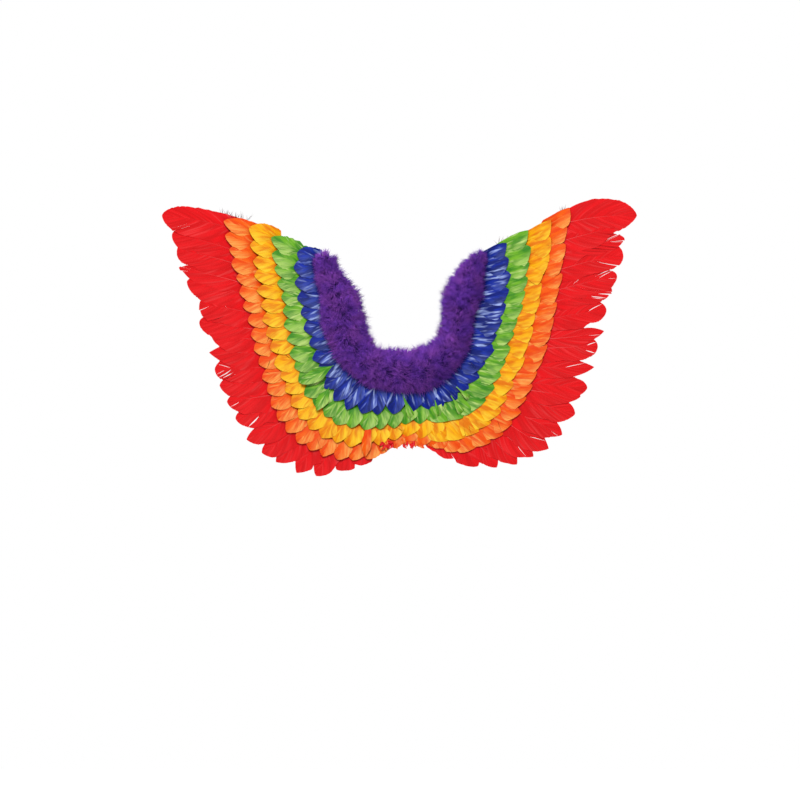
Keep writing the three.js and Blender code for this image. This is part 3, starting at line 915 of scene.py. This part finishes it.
def panel_points():
    u = np.linspace(PANEL_TOP - 1, 1 - PANEL_TOP, 2 * PANEL_STATIONS + 1)
    s = 1 - np.abs(u)
    sign = np.where(u < 0, -1.0, 1.0)
    share = np.linspace(0, 1, PANEL_ACROSS + 1)
    tips = np.where(u < 0, reach_at("left", "orange", s), reach_at("right", "orange", s))
    outer = np.minimum(along("panel", s), tips - PANEL_COVER) - PANEL_RIM
    distance = -PANEL_NECK_MARGIN + share[None, :] * (outer + PANEL_NECK_MARGIN)[:, None]
    flat = rib_point(s[:, None] + 0 * distance, distance)
    x = sign[:, None] * flat[..., 0]
    z = flat[..., 1]
    edge = PANEL_ABOUT_WIDE * np.minimum(share, 1 - share)[None, :]
    past_edge = 1 - np.clip(edge / PANEL_EDGE_WIDE, 0, 1)
    dip = PANEL_EDGE * (1 - np.sqrt(np.clip(1 - past_edge ** 2, 0, 1)))
    wave = PANEL_WAVE * np.sin(x / 9) * np.sin(z / 11)
    return x, z, dip, wave


def panel_piece(material):
    x, z, dip, wave = panel_points()
    upper = worn(x, z, -dip + wave - PANEL_WAVE)
    lower = worn(x, z, -PANEL_THICK + dip + wave * 0.3 + 0.05)
    batch = Batch()
    batch.add_slab(upper, lower)
    return batch.piece("felt_panel", material, "felt_red", 70)


# The elastic arm loops.
STRAP_X = 112
STRAP_WIDTH = 15
STRAP_THICK = 1.5
STRAP_SEAT = 0.3
STRAP_TAB = 20
STRAP_TOP = 175
STRAP_BOTTOM = -30
STRAP_DEPTH = 120
STRAP_TAB_BEND = 18
STRAP_FRONT_BEND = 60
ARC_STEPS = 16
LINE_STEPS = 10
STRAP_ACROSS = 30
STRAP_RIBS = 7
STRAP_RIB_HIGH = 0.13


def strap_line():
    """Points of an arm loop seen from the side, as (forward, up), and the heading at each."""
    forward = STRAP_DEPTH - STRAP_TAB_BEND - STRAP_FRONT_BEND
    drop = STRAP_TOP - STRAP_BOTTOM - 2 * STRAP_FRONT_BEND
    top = [("line", STRAP_TAB), ("bend", STRAP_TAB_BEND), ("line", forward), ("bend", STRAP_FRONT_BEND)]
    moves = [*top, ("line", drop), *top[::-1]]
    at = np.array([STRAP_SEAT + STRAP_THICK / 2, STRAP_TOP - STRAP_TAB_BEND - STRAP_TAB])
    heading = 90.0
    points, headings = [at], [heading]
    for kind, size in moves:
        steps = LINE_STEPS if kind == "line" else ARC_STEPS
        turn = 0 if kind == "line" else 90 / steps
        length = size / steps if kind == "line" else 2 * size * math.sin(math.radians(turn / 2))
        for _ in range(steps):
            way = math.radians(heading - turn / 2)
            at = at + length * np.array([math.cos(way), math.sin(way)])
            heading -= turn
            points.append(at)
            headings.append(heading)
    return np.array(points), np.radians(headings)


def strap_piece(side, material):
    line, heading = strap_line()
    left = np.stack([-np.sin(heading), np.cos(heading)], axis=-1)
    share = np.linspace(-1, 1, STRAP_ACROSS + 1)
    ribs = STRAP_RIB_HIGH * np.cos(np.pi * STRAP_RIBS * share) ** 2
    edge = np.sqrt(np.clip(1 - np.abs(share) ** 10, 0.05, 1))
    half = STRAP_THICK / 2 * edge - STRAP_RIB_HIGH + ribs
    faces = []
    for way in (1, -1):
        offset = way * half[None, :, None] * left[:, None, :]
        place = line[:, None, :] + offset
        x = WINGS[side]["sign"] * STRAP_X + share[None, :] * STRAP_WIDTH / 2 + 0 * place[..., 0]
        faces.append(np.stack([x, place[..., 0], place[..., 1]], axis=-1) * MM)
    across, run = np.meshgrid(share * STRAP_WIDTH / 2, run_along(line))
    batch = Batch()
    batch.add_slab(*faces, tape=np.stack([across, run, 0 * run], axis=-1))
    return batch.piece(f"elastic_loop_{side}", material, "elastic_black", 60)


# Stitches on the panel's wearer side: rows where the roots of the courses are sewn on, and a boxed
# cross on each end of the arm loops.
STITCH_PITCH = 6.0
STITCH_LENGTH = 4.0
STITCH_INSET = 5
BOX_PITCH = 3.4
BOX_STITCH = 2.6
BOX_WIDE, BOX_HIGH = 10.0, 14.0
THREAD_RADIUS = 0.35
# A stitch's rings: the place along it, and the size and height in thread radii.
STITCH_RINGS = ((0.0, 0.5, -0.3), (0.5, 1.0, 0.5), (1.0, 0.5, -0.3))
STITCH_SIDES = (45, 135, 225, 315)


def root_lines(side):
    """Lines on the panel's wearer side along the roots of the five courses."""
    s = np.linspace(0.04, 1, 160)
    lines = []
    for course_name in (None, *REACH_COLUMNS):
        start = reach_at(side, course_name, s) - TUCK if course_name else BLUE_ROOT + 0 * s
        flat = rib_point(s, start + STITCH_INSET)
        lines.append(worn(WINGS[side]["sign"] * flat[:, 0], flat[:, 1], -PANEL_THICK + 0 * s) / MM)
    return lines


def tab_lines(side):
    """The sides and diagonals of the boxed cross on each end of an arm loop."""
    x = WINGS[side]["sign"] * STRAP_X
    y = STRAP_SEAT + STRAP_THICK
    lines = []
    for z in (STRAP_TOP - STRAP_TAB_BEND - STRAP_TAB / 2, STRAP_BOTTOM + STRAP_TAB_BEND + STRAP_TAB / 2):
        a, b, c, d = (
            np.array([x + across * BOX_WIDE / 2, y, z + up * BOX_HIGH / 2])
            for across, up in ((-1, -1), (1, -1), (1, 1), (-1, 1)))
        lines += [np.stack(ends) for ends in ((a, b), (b, c), (c, d), (d, a), (a, c), (b, d))]
    return lines


def stitches_piece(name, lines, pitch, length, material, slot):
    """Closed stitches of thread along lines on a face that looks towards +Y, with their ends sunk in."""
    batch = Batch()
    up = np.array([0.0, 1.0, 0.0])
    for line in lines:
        run = run_along(line)
        begin = np.arange((pitch - length) / 2, run[-1] - length, pitch)
        first, last = (
            np.stack([np.interp(begin + extra, run, line[:, k]) for k in range(3)], axis=-1)
            for extra in (0, length))
        beside = np.cross(last - first, up)
        beside /= np.linalg.norm(beside, axis=1, keepdims=True)
        rings = []
        for share, size, high in STITCH_RINGS:
            middle = first + (last - first) * share + up * high * THREAD_RADIUS
            for turn in np.radians(STITCH_SIDES):
                spoke = beside * math.cos(turn) + up * math.sin(turn)
                rings.append(middle + size * THREAD_RADIUS * spoke)
        points = np.stack(rings, axis=1)
        tube = tube_faces(len(STITCH_RINGS), len(STITCH_SIDES))
        quads = tube[None] + len(rings) * np.arange(len(points))[:, None, None]
        batch.add(points.reshape(-1, 3) * MM, quads.reshape(-1, 4))
    return batch.piece(name, material, slot, 60)


# Materials, as their deep, middle and pale tones look in the studio light. A feather's pale tone is the
# colour of its painted sheen and painted glints.
FEATHER_TONES = {
    "blue": ((2, 22, 108), (12, 44, 168), (170, 190, 248), (36, 60, 170)),
    "green": ((56, 134, 28), (116, 181, 38), (212, 234, 142), (132, 190, 80)),
    "yellow": ((228, 118, 0), (253, 182, 0), (255, 224, 62), (250, 185, 30)),
    "orange": ((234, 66, 2), (247, 97, 3), (255, 192, 98), (246, 125, 40)),
    "red": ((213, 6, 13), (235, 8, 18), (248, 112, 112), (250, 120, 120)),
}
# How strong the painted sheen band, the painted glint streaks, the dark tip and the fine grain are.
FEATHER_MARKS = {
    "blue": (0.18, 1.0, 0.6, 0.5), "green": (0.6, 0.65, 0.2, 0.55), "yellow": (0.7, 0.55, 0.2, 0.6),
    "orange": (0.7, 0.55, 0.2, 0.55), "red": (0.06, 0.17, 0.0, 0.2),
}
FEATHER_LOOKS = {
    name: feather_material(f"dyed_feather_{name}", *(dye(*tone) for tone in tones), *FEATHER_MARKS[name])
    for name, tones in FEATHER_TONES.items()
}
DOWN_PURPLE = down_material(
    "marabou_down_purple", dye(86, 44, 158), dye(144, 78, 228), dye(178, 94, 228))
# The core's tones are darker than the down's: painted shade for the depths between the locks.
CORE_PURPLE = down_material(
    "marabou_core_purple", dye(60, 31, 106), dye(80, 43, 134), dye(96, 52, 134))
DOWN_GREY = down_material("edge_down_grey", dye(92, 58, 68), dye(136, 98, 106), dye(164, 130, 136))
FELT_RED = felt_material("felt_red", linear(120, 8, 14), linear(168, 18, 26))
ELASTIC_BLACK = elastic_material("woven_elastic_black", linear(10, 10, 12), linear(26, 26, 30))
THREAD_RED = thread_material("sewing_thread_red", linear(226, 92, 92))
THREAD_BLACK = thread_material("sewing_thread_black", linear(48, 48, 52))

# The pieces.
panel = panel_piece(FELT_RED)
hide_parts("backing_panel")
panel_stitches = stitches_piece(
    "panel_stitches", root_lines("left") + root_lines("right"), STITCH_PITCH, STITCH_LENGTH, THREAD_RED,
    "felt_red")
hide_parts("backing_panel")

for k, course in enumerate(COVERTS):
    for side in WINGS:
        row_name = f"{course['name']}_feathers_{side}"
        rng = np.random.default_rng([SEED, k, WINGS[side]["leans"]])
        row = covert_row(course, side, rng).piece(
            f"{row_name}_row", FEATHER_LOOKS[course["name"]], f"feather_{course['name']}")
        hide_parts(row_name)
rng = np.random.default_rng(SEED)
for side in WINGS:
    row = red_row(side, rng).piece(
        f"red_feathers_{side}_row", FEATHER_LOOKS["red"], "feather_red")
    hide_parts(f"red_feathers_{side}")


def down_piece(name, parts, material):
    points, quads, value = parts
    return make_piece(name, points, quads, {"tuft": value}, material, 180)


core = down_piece("marabou_core", boa_core(), CORE_PURPLE)
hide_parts("marabou_trim")
BOA_PARTS = ("left", "middle", "right")
for k, part_name in enumerate(BOA_PARTS):
    low, high = k / len(BOA_PARTS), (k + 1) / len(BOA_PARTS)
    parts = boa_strands(rng, low, high, LOCKS // len(BOA_PARTS))
    down = down_piece(f"marabou_down_{part_name}", parts, DOWN_PURPLE)
    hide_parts("marabou_trim")

for side in WINGS:
    hairs = down_piece(f"edge_down_{side}", edge_down(side, rng), DOWN_GREY)
    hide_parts(f"red_feathers_{side}")

for side in WINGS:
    loop = strap_piece(side, ELASTIC_BLACK)
    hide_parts(f"arm_loop_{side}")
    loop_stitches = stitches_piece(
        f"loop_stitches_{side}", tab_lines(side), BOX_PITCH, BOX_STITCH, THREAD_BLACK,
        "elastic_black")
    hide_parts(f"arm_loop_{side}")

# Floor, light and camera.
FLOOR_Z = -0.75
FLOOR_HALF = 1.6
floor_mesh = bpy.data.meshes.new("studio_floor")
floor_mesh.from_pydata(
    [(x * FLOOR_HALF, y * FLOOR_HALF, FLOOR_Z) for x, y in ((-1, -1), (1, -1), (1, 1), (-1, 1))],
    [], [(0, 1, 2, 3)])
floor = bpy.data.objects.new("studio_floor", floor_mesh)
bpy.context.scene.collection.objects.link(floor)
floor_material, _, floor_shader = new_material("pale_floor")
floor_shader.inputs["Base Color"].default_value = (0.93, 0.93, 0.93, 1)
floor_shader.inputs["Roughness"].default_value = 0.9
floor_mesh.materials.append(floor_material)

world = bpy.data.worlds.new("studio_white")
world.use_nodes = True
world.node_tree.nodes["Background"].inputs["Color"].default_value = (1, 1, 1, 1)
world.node_tree.nodes["Background"].inputs["Strength"].default_value = 1.0
bpy.context.scene.world = world
bpy.context.scene.view_settings.view_transform = "Standard"

LIGHT_PLACE = np.array([-0.2, -2.8, 1.9])
LIGHT_AIM = np.array([0, 0, 0.1])
light_data = bpy.data.lights.new("front_softbox", "AREA")
light_data.shape = "SQUARE"
light_data.size = 1.3
light_data.energy = 230
light = bpy.data.objects.new("front_softbox", light_data)
light.location = LIGHT_PLACE
way = LIGHT_AIM - LIGHT_PLACE
light.rotation_euler = (math.atan2(math.hypot(way[0], way[1]), -way[2]), 0, math.atan2(-way[0], way[1]))
bpy.context.scene.collection.objects.link(light)

CAMERA_DISTANCE = 7.0
CAMERA_X = -0.00165
FRAME_WIDTH = 1.32
camera_data = bpy.data.cameras.new("camera")
camera_data.sensor_width = 36
camera_data.lens = 36 * CAMERA_DISTANCE / FRAME_WIDTH
camera = bpy.data.objects.new("camera", camera_data)
camera.location = (CAMERA_X, -CAMERA_DISTANCE, 0)
camera.rotation_euler = (math.pi / 2, 0, 0)
bpy.context.scene.collection.objects.link(camera)
bpy.context.scene.camera = camera
